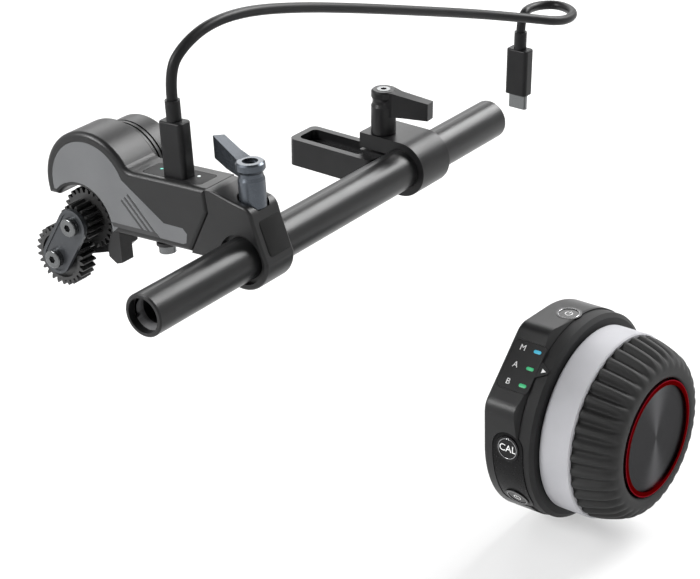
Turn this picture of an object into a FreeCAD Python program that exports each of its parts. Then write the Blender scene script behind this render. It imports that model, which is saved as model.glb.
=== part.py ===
# Wireless follow focus kit: motor on a 15 mm rod, slotted rod bracket, cable and hand unit.
# Every piece is drawn in the rod's own frame (front end of the rod at the origin, Y along it)
# and written out in the frame of the bracket's slot.
import os
import math
import FreeCAD
import Part

V = FreeCAD.Vector

# the frame the pieces are written in: middle of the bracket's slot at the arm's underside
SLOT_X = -30.6
SLOT_Y = 144.8
ARM_BOTTOM = -8.3

# general clearances
SEAT = 0.3               # gap between pieces that seat on each other
RUN_FIT = 0.05           # radial clearance of a shaft that turns or slides

# rod
ROD_R = 7.5
ROD_LENGTH = 202.0
ROD_BORE_R = 6.0
ROD_THREAD_R = 5.2
ROD_CORE_R = 4.6
ROD_THREAD_START = 6.0
ROD_THREAD_DEPTH = 24.0

# motor unit, drawn upright and leaned about the rod
LEAN = 4.0
FRONT_Y = 49.0
CLAMP_DEPTH = 15.0
HOUSING_DEPTH = 16.0
TOP_Z = 22.4
BOTTOM_Z = -1.85
CLAMP_R = 11.0
CLAMP_LEFT = -13.6
HOOK_X = -66.6
HOOK_Z = 12.8
HOOK_R = 20.5
THROAT_X = -71.9
THROAT_Z = -0.5
THROAT_R = 13.0
HOOK_TIP_Z = 7.6
BLEND_R = 5.0
CAN_R = 16.8
CAN_LENGTH = 13.7
MOTOR_TEETH = 14
MOTOR_ANGLE = 67.0
MOTOR_REACH = 16.0
CORE_R = 14.3
NOSE_R = 6.9
PINION_ROOM_R = 7.2
CAN_X = THROAT_X + MOTOR_REACH * math.cos(math.radians(MOTOR_ANGLE))
CAN_Z = THROAT_Z + MOTOR_REACH * math.sin(math.radians(MOTOR_ANGLE))
PANEL_DEPTH = 0.8

# gear train
MODULE = 0.8
DRIVE_TEETH = 26
PINION_TEETH = 16
IDLER_TEETH = 26
PRESSURE_ANGLE = 20.0
BACKLASH = 0.12
DRIVE_FRONT_Y = 52.6
DRIVE_WIDTH = 4.2
PINION_FRONT_Y = 45.6
IDLER_FRONT_Y = 45.7
IDLER_WIDTH = 6.6
IDLER_ANGLE = 235.7
PLATE_FRONT_Y = 43.6
PLATE_THICK = 1.6
DRIVE_SHAFT_R = 2.0
PLATE_SCREW_HEAD_R = 3.4
MOTOR_SHAFT_R = 1.5
BOSS_FRONT = 57.6
REAR_ARM_FRONT = 57.2
REAR_ARM_BACK = 60.2
STOP_FRONT = 51.0
STOP_BACK = 56.9
STOP_RIGHT = -56.4
UNDER_SCREW_X = -36.0
UNDER_SCREW_Y = 53.0

# cable and its plugs
CABLE_R = 1.9
PLUG_X = -29.5
PLUG_BASE = 22.5
PLUG_Y = 55.5
PLUG_WIDE = 10.0
PLUG_THICK = 6.2
PLUG_HIGH = 19.6
RELIEF_R = 2.6
RELIEF_HIGH = 7.2
TIP_WIDE = 8.3
TIP_THICK = 2.5
TIP_LONG = 6.5
FAR_PLUG = (-23.9, 262.7, 12.8)

# clamp lever of the motor
LEVER_X = 1.1
LEVER_Y = 56.5
LEVER_BARREL_R = 4.6
LEVER_LENGTH = 22.0
LEVER_HEAD_R = 5.0
LEVER_WAIST_R = 4.1
LEVER_TOP = 32.8
LEVER_SCREW_R = 2.5

# rod bracket
ARM_FRONT = 137.0
ARM_DEPTH = 15.6
ARM_TOP = 2.2
ARM_LEFT = -47.8
COLLAR_R = 10.3
COLLAR_FRONT = 141.5
COLLAR_WIDTH = 17.0
EAR_LEFT = -18.25
EAR_TOP = 10.3
SLOT_WIDE = 10.2
SLOT_NARROW = 6.6
SLOT_LEFT = -45.3
SLOT_RIGHT = -14.1
LEDGE_DEPTH = 4.0
BLACK_LEVER_X = -11.2
BLACK_LEVER_Y = 146.6
BLACK_LEVER_HIGH = 16.9
BRACKET_SCREW_R = 2.0
BRACKET_HEAD_R = 2.45

# hand unit, drawn about its own wheel axis from the back of the marking ring
HAND_X = 72.32
HAND_Y = 164.49
HAND_Z = -90.15
HAND_PITCH = -2.24
HAND_YAW = -2.5
HAND_BACK = -21.0
HAND_R = 40.4
HAND_CORNER = 17.0
CORNER_R = 8.0
HAND_BEVEL_START = -8.5
HAND_BEVEL_END = -6.2
HAND_BEVEL_R = 44.0
HAND_STEP = 0.5
WALL = 3.0
LID_R = 33.0
LID_THICK = 2.4
LID_SCREW_CIRCLE = 30.0
LID_SCREW_ANGLES = (45, 135, 225, 315)
INSERT_R = 5.2
INSERT_HOLE_R = 2.6
INSERT_DEEP = 7.2
BEARING_R = 7.95
POINTER_ANGLE = 132.6
POINTER_WIDE = 3.4
LIGHT_BACK = -19.6
LIGHT_FRONT = -5.9
LIGHT_HALF = 9.7
LIGHT_SHIFT = 0.98
BUTTON_X = -10.4
BUTTON_R = 3.7
BUTTON_HOLE_R = 4.9
CAPSULE_HALF = 6.6
TOP_BUTTON_Y = -0.7
MIDDLE_BUTTON_ANGLE = 177.6
LOWER_BUTTON_ANGLE = 213.3
RING_R = 35.7
RING_WIDTH = 12.9
HUB_R = 34.0
GRIP_R = 35.0
GRIP_FRONT_R = 32.2
DRUM_R = GRIP_FRONT_R - 3.0
GRIP_FRONT_X = 28.5
GRIP_RIBS = 38
RIB_TOOL_R = 1.75
RIB_DEPTH = 0.8
RED_RING_R = 22.4
WHEEL_SHAFT_R = 5.0


def add(shape_list):
    whole = shape_list[0]
    for item in shape_list[1:]:
        whole = whole.fuse(item)
    return whole.removeSplitter()


def cut(whole, tools):
    for tool in tools:
        whole = whole.cut(tool)
    return whole


def box(x0, x1, y0, y1, z0, z1):
    return Part.makeBox(x1 - x0, y1 - y0, z1 - z0, V(x0, y0, z0))


def rod_y(x, z, radius, y0, y1):
    return Part.makeCylinder(radius, y1 - y0, V(x, y0, z), V(0, 1, 0))


def rod_x(y, z, radius, x0, x1):
    return Part.makeCylinder(radius, x1 - x0, V(x0, y, z), V(1, 0, 0))


def rod_z(x, y, radius, z0, z1):
    return Part.makeCylinder(radius, z1 - z0, V(x, y, z0), V(0, 0, 1))


def tube_y(x, z, outer, inner, y0, y1):
    return rod_y(x, z, outer, y0, y1).cut(rod_y(x, z, inner, y0 - 1, y1 + 1))


def tube_x(y, z, outer, inner, x0, x1):
    return rod_x(y, z, outer, x0, x1).cut(rod_x(y, z, inner, x0 - 1, x1 + 1))


def tube_z(x, y, outer, inner, z0, z1):
    return rod_z(x, y, outer, z0, z1).cut(rod_z(x, y, inner, z0 - 1, z1 + 1))


def slab(outline, y0, y1):
    corners = [V(x, y0, z) for x, z in outline]
    face = Part.Face(Part.makePolygon(corners + [corners[0]]))
    return face.extrude(V(0, y1 - y0, 0))


def plate_x(outline, x0, x1):
    corners = [V(x0, y, z) for y, z in outline]
    face = Part.Face(Part.makePolygon(corners + [corners[0]]))
    return face.extrude(V(x1 - x0, 0, 0))


def plate_z(outline, z0, z1):
    corners = [V(x, y, z0) for x, y in outline]
    face = Part.Face(Part.makePolygon(corners + [corners[0]]))
    return face.extrude(V(0, 0, z1 - z0))


def turned_x(profile, y, z):
    corners = [V(x, y, z + radius) for x, radius in profile]
    face = Part.Face(Part.makePolygon(corners + [corners[0]]))
    return face.revolve(V(0, y, z), V(1, 0, 0), 360)


def rounded_box(x0, x1, y0, y1, z0, z1, radius, direction):
    body = box(x0, x1, y0, y1, z0, z1)
    edges = []
    for edge in body.Edges:
        span = edge.Vertexes[1].Point.sub(edge.Vertexes[0].Point)
        span.normalize()
        if abs(span.dot(direction)) > 0.99:
            edges.append(edge)
    return body.makeFillet(radius, edges)


def soften(body, radius, chosen):
    edges = [edge for edge in body.Edges if chosen(edge)]
    try:
        rounded = body.makeFillet(radius, edges)
        if rounded.isValid() and rounded.Volume > 0:
            return rounded
    except Exception:
        print("rounding left out", radius, len(edges))
    return body


def on_plane_y(y):
    def chosen(edge):
        bounds = edge.BoundBox
        return abs(bounds.YMin - y) < 0.01 and abs(bounds.YMax - y) < 0.01
    return chosen


def on_plane_x(x):
    def chosen(edge):
        bounds = edge.BoundBox
        return abs(bounds.XMin - x) < 0.01 and abs(bounds.XMax - x) < 0.01
    return chosen


def tilted(body):
    turned = body.copy()
    turned.rotate(V(0, 0, 0), V(0, 1, 0), HAND_PITCH)
    turned.rotate(V(0, 0, 0), V(0, 0, 1), HAND_YAW)
    turned.translate(V(HAND_X, HAND_Y, HAND_Z))
    return turned


def leaned(body):
    turned = body.copy()
    turned.rotate(V(0, 0, 0), V(0, 1, 0), -LEAN)
    return turned


def hex_socket_y(x, z, across, y0, y1):
    outline = []
    for i in range(6):
        angle = math.radians(60 * i)
        outline.append((x + across / math.sqrt(3) * math.cos(angle),
                        z + across / math.sqrt(3) * math.sin(angle)))
    return slab(outline, y0, y1)


def hex_socket_z(x, y, across, z0, z1):
    outline = []
    for i in range(6):
        angle = math.radians(60 * i)
        outline.append((x + across / math.sqrt(3) * math.cos(angle),
                        y + across / math.sqrt(3) * math.sin(angle)))
    return plate_z(outline, z0, z1)


def involute_point(base, roll, turn, flip):
    x = base * (math.cos(roll) + roll * math.sin(roll))
    z = flip * base * (math.sin(roll) - roll * math.cos(roll))
    return (x * math.cos(turn) - z * math.sin(turn), x * math.sin(turn) + z * math.cos(turn))


def gear_outline(teeth, start_angle):
    pitch = MODULE * teeth / 2
    tip = pitch + MODULE
    root = pitch - 1.25 * MODULE
    base = pitch * math.cos(math.radians(PRESSURE_ANGLE))
    inv = math.tan(math.radians(PRESSURE_ANGLE)) - math.radians(PRESSURE_ANGLE)
    half = math.pi / (2 * teeth) - BACKLASH / (4 * pitch) + inv
    tip_roll = math.sqrt((tip / base) ** 2 - 1)
    start_roll = 0.0
    if root > base:
        start_roll = math.sqrt((root / base) ** 2 - 1)
    rolls = [start_roll + (tip_roll - start_roll) * i / 4 for i in range(5)]
    outline = []
    for tooth in range(teeth):
        middle = start_angle + 2 * math.pi * tooth / teeth
        foot = middle - half
        outline.append((root * math.cos(foot), root * math.sin(foot)))
        for roll in rolls:
            outline.append(involute_point(base, roll, middle - half, 1))
        for roll in reversed(rolls):
            outline.append(involute_point(base, roll, middle + half, -1))
        foot = middle + half
        outline.append((root * math.cos(foot), root * math.sin(foot)))
    cleaned = [outline[0]]
    for point in outline[1:]:
        if math.dist(point, cleaned[-1]) > 0.02:
            cleaned.append(point)
    return cleaned


def gear(x, z, teeth, start_angle, y0, y1, bore):
    outline = [(x + px, z + pz) for px, pz in gear_outline(teeth, start_angle)]
    return slab(outline, y0, y1).cut(rod_y(x, z, bore, y0 - 1, y1 + 1))


def idler_centre():
    distance = MODULE * (PINION_TEETH + IDLER_TEETH) / 2
    angle = math.radians(IDLER_ANGLE)
    return (THROAT_X + distance * math.cos(angle), THROAT_Z + distance * math.sin(angle))


def make_rod():
    rod = rod_y(0, 0, ROD_R, 0, ROD_LENGTH)
    rod = rod.makeChamfer(0.5, [e for e in rod.Edges if on_plane_y(0)(e) or on_plane_y(ROD_LENGTH)(e)])
    tools = [rod_y(0, 0, ROD_CORE_R, -1, ROD_LENGTH + 1)]
    tools.append(rod_y(0, 0, ROD_THREAD_R, -1, ROD_THREAD_DEPTH))
    tools.append(rod_y(0, 0, ROD_THREAD_R, ROD_LENGTH - ROD_THREAD_DEPTH, ROD_LENGTH + 1))
    tools.append(rod_y(0, 0, ROD_BORE_R, -1, ROD_THREAD_START))
    tools.append(rod_y(0, 0, ROD_BORE_R, ROD_LENGTH - ROD_THREAD_START, ROD_LENGTH + 1))
    return cut(rod, tools)


def housing_outline():
    seam = [(CLAMP_LEFT, TOP_Z), (CLAMP_LEFT + 0.8, 14.3), (-21.75, BOTTOM_Z)]
    return [(-57.0, BOTTOM_Z), (-57.0, TOP_Z)] + seam


def make_housing():
    back = FRONT_Y + HOUSING_DEPTH
    body = slab(housing_outline(), FRONT_Y, back)
    hook = rod_y(HOOK_X, HOOK_Z, HOOK_R, FRONT_Y, back)
    wedge = slab([(-49.9, 24.5), (-45.8, TOP_Z), (-50, 18)], FRONT_Y, back)
    wedge = wedge.cut(rod_y(-45.8, TOP_Z + BLEND_R, BLEND_R, FRONT_Y - 1, back + 1))
    body = add([body, hook, wedge])
    throat = rod_y(THROAT_X, THROAT_Z, THROAT_R, FRONT_Y - 1, back + 1)
    tip = box(-95, -70, FRONT_Y - 1, back + 1, -20, HOOK_TIP_Z)
    under = box(-95, -50, FRONT_Y - 1, back + 1, -20, BOTTOM_Z)
    body = cut(body, [throat, tip, under]).removeSplitter()
    body = soften(body, 1.8, on_plane_y(FRONT_Y))
    return body


def housing_hollow():
    core = rod_y(HOOK_X, HOOK_Z, HOOK_R - 2.2, FRONT_Y + 4.5, FRONT_Y + HOUSING_DEPTH - 2)
    wall = rod_y(THROAT_X, THROAT_Z, THROAT_R + 2.0, FRONT_Y, FRONT_Y + HOUSING_DEPTH)
    room = box(-52, -24, FRONT_Y + 3.5, FRONT_Y + HOUSING_DEPTH - 3, BOTTOM_Z + 2.5, TOP_Z - 7)
    tip = box(-95, -70, FRONT_Y - 1, FRONT_Y + HOUSING_DEPTH + 1, -20, HOOK_TIP_Z + 3)
    return cut(add([core, room]), [wall, tip])


def panel_outline(inset):
    outer = rod_y(HOOK_X, HOOK_Z, HOOK_R - 3.3 - inset, FRONT_Y, FRONT_Y + PANEL_DEPTH)
    inner = rod_y(THROAT_X, THROAT_Z, THROAT_R + 1.5 + inset, FRONT_Y - 1, FRONT_Y + 2)
    sash = slab([(-58.5, 24.5), (-33.0, 6.6), (-24.6, 6.4), (-22.9, 4.6), (-23.5, 1.2),
                 (-25.0, 0.6), (-57.0, 0.8), (-62, 10)], FRONT_Y, FRONT_Y + PANEL_DEPTH)
    tip = box(-95, -70, FRONT_Y - 1, FRONT_Y + 2, -20, HOOK_TIP_Z + 2.2)
    return cut(add([outer, sash]), [inner, tip])


def make_can():
    y0 = FRONT_Y + HOUSING_DEPTH + SEAT
    can = rod_y(CAN_X, CAN_Z, CAN_R, y0, y0 + CAN_LENGTH)
    can = soften(can, 1.5, on_plane_y(y0 + CAN_LENGTH))
    for place in (1.0, 2.9, 4.8):
        can = can.cut(tube_y(CAN_X, CAN_Z, CAN_R + 1, CAN_R - 0.6, y0 + place, y0 + place + 0.8))
    return can.cut(rod_y(CAN_X, CAN_Z, CORE_R + SEAT, y0 - 1, y0 + CAN_LENGTH - 2))


def make_clamp():
    back = FRONT_Y + CLAMP_DEPTH
    left = [(CLAMP_LEFT + SEAT, TOP_Z), (CLAMP_LEFT + 0.8 + SEAT, 14.3), (-21.75 + SEAT, BOTTOM_Z)]
    body = slab(left + [(0, BOTTOM_Z - 4), (CLAMP_R, 0), (6.87, 12.25), (5.2, 18.6), (-2.7, 20.4),
                        (-9.5, TOP_Z)], FRONT_Y, back)
    body = add([body, rod_y(0, 0, CLAMP_R, FRONT_Y, back)])
    under = slab([(-30, BOTTOM_Z), (-9.5, BOTTOM_Z), (-9.5, -20), (-30, -20)], FRONT_Y - 1, back + 1)
    body = body.cut(under).removeSplitter()
    body = soften(body, 2.0, on_plane_y(FRONT_Y))
    tools = [rod_y(0, 0, ROD_R + RUN_FIT, FRONT_Y - 1, back + 1)]
    tools.append(rod_z(LEVER_X, LEVER_Y, LEVER_BARREL_R + 0.7, 16.9, 40))
    tools.append(rod_z(LEVER_X, LEVER_Y, LEVER_SCREW_R + RUN_FIT, 0, 30))
    tools.append(rod_z(-17.0, 59.5, 1.3, -8, 9))
    return cut(body, tools)


def turned_z(profile):
    corners = [V(radius, 0, z) for radius, z in profile]
    face = Part.Face(Part.makePolygon(corners + [corners[0]]))
    return face.revolve(V(0, 0, 0), V(0, 0, 1), 360)


def lever_barrel(low, waist, top, head):
    return turned_z([(0, low), (LEVER_BARREL_R, low), (LEVER_BARREL_R, waist - 1.8),
                     (LEVER_WAIST_R, waist - 0.6),
                     (LEVER_WAIST_R, waist + 0.6), (head, waist + 1.8), (head, top - 0.6),
                     (head - 0.6, top),
                     (0, top)])


def grey_lever():
    barrel = lever_barrel(17.2, LEVER_TOP - 4.4, LEVER_TOP, LEVER_HEAD_R)
    corners = [V(-1.5, -2.9, 0), V(-1.5, 2.6, 0), V(-6.5, 2.3, 0), V(-14.5, 3.2, 0), V(-15.5, -0.6, 0),
               V(-8.0, -1.8, 0)]
    low = LEVER_TOP - 5.9
    corners = [V(c.x * LEVER_LENGTH / 16.0, c.y, low) for c in corners]
    arm = Part.Face(Part.makePolygon(corners + [corners[0]])).extrude(V(0, 0, 9.5))
    under = slab([(-30, low - 8), (-30, low + 2.2), (0, low - 1.5), (0, low - 8)], -9, 9)
    above = slab([(0, LEVER_TOP - 0.7), (0, LEVER_TOP + 9), (-30, LEVER_TOP + 9), (-30, LEVER_TOP + 5.0)],
                 -9, 9)
    lever = add([barrel, cut(arm, [under, above])])
    return cut(lever, [hex_socket_z(0, 0, 4.0, LEVER_TOP - 5, 40), rod_z(0, 0, 2.7, LEVER_TOP - 1.2, 40)])


def make_motor_lever():
    lever = add([grey_lever(), rod_z(0, 0, LEVER_SCREW_R, ROD_R + 0.9, 18.0)])
    lever.rotate(V(0, 0, 0), V(0, 0, 1), -18)
    lever.translate(V(LEVER_X, LEVER_Y, 0))
    return lever


def make_rod_shoe():
    pad = rod_z(LEVER_X, LEVER_Y, 2.3, 0, ROD_R + 0.6)
    return pad.cut(rod_y(0, 0, ROD_R + 0.02, 30, 80))


def plug_body(base, high):
    half_w = PLUG_WIDE / 2
    half_t = PLUG_THICK / 2
    body = rounded_box(-half_w, half_w, -half_t, half_t, base, base + high, 1.6, V(0, 0, 1))
    body = soften(body, 0.7, lambda e: e.BoundBox.ZMin > base + high - 0.01)
    relief = rod_z(0, 0, RELIEF_R, base + high - 0.1, base + high + RELIEF_HIGH)
    body = add([body, relief])
    shell = rounded_box(-TIP_WIDE / 2, TIP_WIDE / 2, -TIP_THICK / 2, TIP_THICK / 2, base - TIP_LONG,
                        base + 4, 1.1, V(0, 0, 1))
    body = cut(body, [shell, rod_z(0, 0, CABLE_R + 0.02, base + 12, base + high + RELIEF_HIGH + 1)])
    return body


def plug_tip(base):
    shell = rounded_box(-TIP_WIDE / 2, TIP_WIDE / 2, -TIP_THICK / 2, TIP_THICK / 2, base - TIP_LONG,
                        base + 4, 1.1, V(0, 0, 1))
    hole = rounded_box(-TIP_WIDE / 2 + 0.35, TIP_WIDE / 2 - 0.35, -TIP_THICK / 2 + 0.35,
                       TIP_THICK / 2 - 0.35,
                       base - TIP_LONG - 1, base - 1, 0.7, V(0, 0, 1))
    tongue = box(-3.3, 3.3, -0.35, 0.35, base - TIP_LONG + 1, base)
    return add([shell.cut(hole), tongue])


def placed_plug(shape):
    moved = shape.copy()
    moved.translate(V(PLUG_X, PLUG_Y, PLUG_BASE))
    return leaned(moved)


def far_placed(shape):
    moved = shape.copy()
    moved.translate(V(FAR_PLUG[0], FAR_PLUG[1], FAR_PLUG[2] - PLUG_HIGH - RELIEF_HIGH))
    return moved


def make_arm():
    body = rounded_box(ARM_LEFT, EAR_LEFT + 8, ARM_FRONT, ARM_FRONT + ARM_DEPTH, ARM_BOTTOM, ARM_TOP, 2.5,
                       V(0, 0, 1))
    back = COLLAR_FRONT + COLLAR_WIDTH
    link = box(EAR_LEFT, 0, COLLAR_FRONT, back, -4.5, EAR_TOP)
    foot = box(EAR_LEFT, -4, COLLAR_FRONT, ARM_FRONT + ARM_DEPTH, ARM_BOTTOM, 0)
    ring = rod_y(0, 0, COLLAR_R, COLLAR_FRONT, back)
    body = add([body, link, foot, ring])
    middle = SLOT_Y
    wide = SLOT_WIDE / 2
    narrow = SLOT_NARROW / 2
    upper = rounded_box(SLOT_LEFT, SLOT_RIGHT - 2.6, middle - wide, middle + wide, ARM_TOP - LEDGE_DEPTH,
                        ARM_TOP + 1,
                        2.2, V(0, 0, 1))
    lower = rounded_box(SLOT_LEFT + 1.8, SLOT_RIGHT - 3.6, middle - narrow, middle + narrow,
                        ARM_BOTTOM - 1, ARM_TOP,
                        narrow - 0.05, V(0, 0, 1))
    tools = [upper, lower, rod_y(0, 0, ROD_R + RUN_FIT, COLLAR_FRONT - 1, back + 1)]
    tools.append(box(-30, -5.5, COLLAR_FRONT - 1, back + 1, 3.6, 4.6))
    tools.append(rod_z(BLACK_LEVER_X, BLACK_LEVER_Y, BRACKET_SCREW_R + RUN_FIT, -2.5, 20))
    return cut(body, tools)


def make_black_lever():
    top = EAR_TOP + BLACK_LEVER_HIGH
    barrel = lever_barrel(EAR_TOP + SEAT, top - 4.4, top, LEVER_BARREL_R)
    arm = plate_z([(1.0, -3.6), (4.6, -2.4), (14.0, -2.2), (19.4, -2.0), (19.4, 2.0), (14.0, 2.2),
                   (6.5, 2.4),
                   (1.0, 4.2)], EAR_TOP + 6.6, top)
    under = slab([(0, 10), (0, EAR_TOP + 6.8), (9, EAR_TOP + 8), (21, EAR_TOP + 9), (21, 10)], -9, 9)
    above = slab([(2.0, top), (2.0, top + 3), (21, top + 3), (21, top - 1.6)], -9, 9)
    lever = add([barrel, cut(arm, [under, above])])
    lever = cut(lever, [rod_z(0, 0, BRACKET_HEAD_R + RUN_FIT, top - 2.6, 60),
                        rod_z(0, 0, BRACKET_SCREW_R + RUN_FIT, EAR_TOP - 2, 60)])
    lever.rotate(V(0, 0, 0), V(0, 0, 1), 5)
    lever.translate(V(BLACK_LEVER_X, BLACK_LEVER_Y, 0))
    return lever


def make_bracket_screw():
    top = EAR_TOP + BLACK_LEVER_HIGH + 0.1
    head = rod_z(BLACK_LEVER_X, BLACK_LEVER_Y, BRACKET_HEAD_R, top - 2.6, top)
    shank = rod_z(BLACK_LEVER_X, BLACK_LEVER_Y, BRACKET_SCREW_R, -2.0, top - 2.5)
    return cut(add([head, shank]), [hex_socket_z(BLACK_LEVER_X, BLACK_LEVER_Y, 2.0, top - 2.0, top + 1)])


def cable_points():
    lean = math.radians(LEAN)
    high = PLUG_BASE + PLUG_HIGH + RELIEF_HIGH - 4
    start = (PLUG_X * math.cos(lean) - high * math.sin(lean), PLUG_Y,
             PLUG_X * math.sin(lean) + high * math.cos(lean))
    rise = 14.0
    second = (start[0] - rise * math.sin(lean), PLUG_Y, start[2] + rise * math.cos(lean))
    end = (FAR_PLUG[0], FAR_PLUG[1], FAR_PLUG[2] - 4)
    above = (FAR_PLUG[0], FAR_PLUG[1], 20.4)
    return [start, second, (-32.1, 61.0, 64.4), (-31.5, 74.0, 68.7), (-30.6, 93.0, 68.0),
            (-29.3, 120.0, 62.0), (-26.8, 152.0, 53.2), (-23.0, 188.0, 42.8), (-18.4, 220.0, 33.6),
            (-11.0, 246.0, 26.0), (-3.0, 261.0, 21.8), (-5.6, 275.5, 20.9), (-18.0, 283.0, 20.2),
            (-25.6, 275.0, 20.2), above, end]


def make_cable():
    points = [V(p[0], p[1], p[2]) for p in cable_points()]
    edges = []
    last = points[0]
    radii = []
    for i in range(1, len(points) - 1):
        before = points[i].sub(points[i - 1])
        after = points[i + 1].sub(points[i])
        turn = before.getAngle(after)
        cutback = 0.45 * min(before.Length, after.Length)
        radius = cutback / math.tan(turn / 2)
        radii.append(round(radius, 1))
        enter = points[i].sub(V(before).normalize() * cutback)
        leave = points[i].add(V(after).normalize() * cutback)
        side = V(after).normalize().sub(V(before).normalize()).normalize()
        centre = points[i].add(side * math.hypot(radius, cutback))
        middle = centre.sub(side * radius)
        edges.append(Part.LineSegment(last, enter).toShape())
        edges.append(Part.Arc(enter, middle, leave).toShape())
        last = leave
    edges.append(Part.LineSegment(last, points[-1]).toShape())
    path = Part.Wire(edges)
    ring = Part.Wire(Part.makeCircle(CABLE_R, points[0], points[1].sub(points[0])))
    tube = path.makePipeShell([ring], True, False, 2)
    print("cable radii", radii)
    print("cable volume", round(tube.Volume), "section times length",
          round(math.pi * CABLE_R ** 2 * path.Length))
    return tube


def make_boss():
    back = FRONT_Y + HOUSING_DEPTH
    hub = rod_y(THROAT_X, THROAT_Z, 8.2, BOSS_FRONT, back)
    web = slab([(-78, 4), (-76, -5), (-68, -7.8), (-58, 0), (-57, 8), (-66, 15), (-77, 12)], 59.5, back)
    return add([hub, web]).cut(box(-95, -50, 50, 70, -20, -8.2))


def make_motor_housing():
    body = make_housing()
    body = cut(body, [housing_hollow(), panel_outline(0),
                      rod_y(CAN_X, CAN_Z, PINION_ROOM_R, DRIVE_FRONT_Y - 0.6, 58.5)])
    body = body.fuse(make_boss())
    tools = [rod_y(CAN_X, CAN_Z, PINION_ROOM_R, 58, 70)]
    tools.append(rod_y(THROAT_X, THROAT_Z, DRIVE_SHAFT_R + 0.02, 56, 63.5))
    tools.append(box(PLUG_X - 4.5, PLUG_X + 4.5, PLUG_Y - 1.7, PLUG_Y + 1.7, 8, TOP_Z + 1))
    tools.append(top_panel_block(0.05, -0.05))
    tools.append(rod_z(UNDER_SCREW_X, UNDER_SCREW_Y, 1.25, BOTTOM_Z - 1, BOTTOM_Z + 4))
    tools.append(stop_outline(STOP_FRONT - 0.05, STOP_BACK + 0.05, 0.05))
    return cut(body, tools).removeSplitter()


def top_panel_block(grow, drop):
    return rounded_box(-43.5 - grow, -17.5 + grow, 51.8 - grow, 61.6 + grow, TOP_Z - 1.2 + drop, TOP_Z,
                       1.6, V(0, 0, 1))


def make_top_panel():
    return top_panel_block(-0.1, 0).cut(
        rounded_box(PLUG_X - 4.3, PLUG_X + 4.3, PLUG_Y - 1.4, PLUG_Y + 1.4, 15, 30, 1.2, V(0, 0, 1)))


def make_socket():
    outer = rounded_box(PLUG_X - 4.5, PLUG_X + 4.5, PLUG_Y - 1.6, PLUG_Y + 1.6, 14.6, TOP_Z - 1.25, 1.3,
                        V(0, 0, 1))
    inner = rounded_box(PLUG_X - 4.22, PLUG_X + 4.22, PLUG_Y - 1.32, PLUG_Y + 1.32, 15.2, TOP_Z + 1, 1.1,
                        V(0, 0, 1))
    return outer.cut(inner)


def make_control_board():
    return box(-46.0, -25.0, FRONT_Y + 4.2, FRONT_Y + HOUSING_DEPTH - 4.2, 12.6, 14.2)


def make_motor_core():
    back = FRONT_Y + HOUSING_DEPTH
    body = rod_y(CAN_X, CAN_Z, CORE_R, back + 2 * SEAT, back + SEAT + CAN_LENGTH - 2.3)
    nose = rod_y(CAN_X, CAN_Z, NOSE_R, 58.3, back + 0.7)
    return add([body, nose]).cut(rod_y(CAN_X, CAN_Z, MOTOR_SHAFT_R + RUN_FIT, 57, back + 8))


def make_motor_pinion():
    start = math.radians(MOTOR_ANGLE + 180)
    wheel = gear(CAN_X, CAN_Z, MOTOR_TEETH, start, DRIVE_FRONT_Y + 0.4, DRIVE_FRONT_Y + 3.8, 1.0)
    return add([wheel, rod_y(CAN_X, CAN_Z, MOTOR_SHAFT_R, DRIVE_FRONT_Y + 0.4,
                             FRONT_Y + HOUSING_DEPTH + 7)])


def make_drive_gear():
    half_pitch = math.pi / DRIVE_TEETH
    big = gear(THROAT_X, THROAT_Z, DRIVE_TEETH, math.radians(MOTOR_ANGLE) + half_pitch, DRIVE_FRONT_Y,
               DRIVE_FRONT_Y + DRIVE_WIDTH, DRIVE_SHAFT_R + RUN_FIT)
    small = gear(THROAT_X, THROAT_Z, PINION_TEETH, math.radians(IDLER_ANGLE), PINION_FRONT_Y,
                 DRIVE_FRONT_Y + 0.1,
                 DRIVE_SHAFT_R + RUN_FIT)
    return add([big, small])


def make_idler():
    x, z = idler_centre()
    start = math.radians(IDLER_ANGLE + 180) + math.pi / IDLER_TEETH
    wheel = gear(x, z, IDLER_TEETH, start, IDLER_FRONT_Y, IDLER_FRONT_Y + IDLER_WIDTH,
                 DRIVE_SHAFT_R + RUN_FIT)
    web = tube_y(x, z, 8.2, 4.2, IDLER_FRONT_Y - 1, IDLER_FRONT_Y + 1.2)
    return wheel.cut(web)


def link_outline(radius, y0, y1):
    x, z = idler_centre()
    dx = x - THROAT_X
    dz = z - THROAT_Z
    length = math.hypot(dx, dz)
    nx = -dz / length * radius
    nz = dx / length * radius
    middle = slab([(THROAT_X + nx, THROAT_Z + nz), (x + nx, z + nz), (x - nx, z - nz),
                   (THROAT_X - nx, THROAT_Z - nz)],
                  y0, y1)
    return add([middle, rod_y(THROAT_X, THROAT_Z, radius, y0, y1), rod_y(x, z, radius, y0, y1)])


def make_link_plate():
    x, z = idler_centre()
    plate = link_outline(6.1, PLATE_FRONT_Y, PLATE_FRONT_Y + PLATE_THICK)
    plate = plate.cut(link_outline(4.9, PLATE_FRONT_Y - 1, PLATE_FRONT_Y + 0.35))
    return cut(plate, [rod_y(THROAT_X, THROAT_Z, 1.3, 40, 50), rod_y(x, z, 1.3, 40, 50)])


def make_link_screws():
    x, z = idler_centre()
    shapes = []
    for px, pz in ((THROAT_X, THROAT_Z), (x, z)):
        head = rod_y(px, pz, PLATE_SCREW_HEAD_R, PLATE_FRONT_Y - 2.1, PLATE_FRONT_Y + 0.35)
        head = soften(head, 0.5, on_plane_y(PLATE_FRONT_Y - 2.1))
        head = head.cut(hex_socket_y(px, pz, 2.5, PLATE_FRONT_Y - 3, PLATE_FRONT_Y - 0.6))
        shank = rod_y(px, pz, 1.25, PLATE_FRONT_Y + 0.2, PLATE_FRONT_Y + 6)
        shapes.append(add([head, shank]))
    return Part.makeCompound(shapes)


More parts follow.
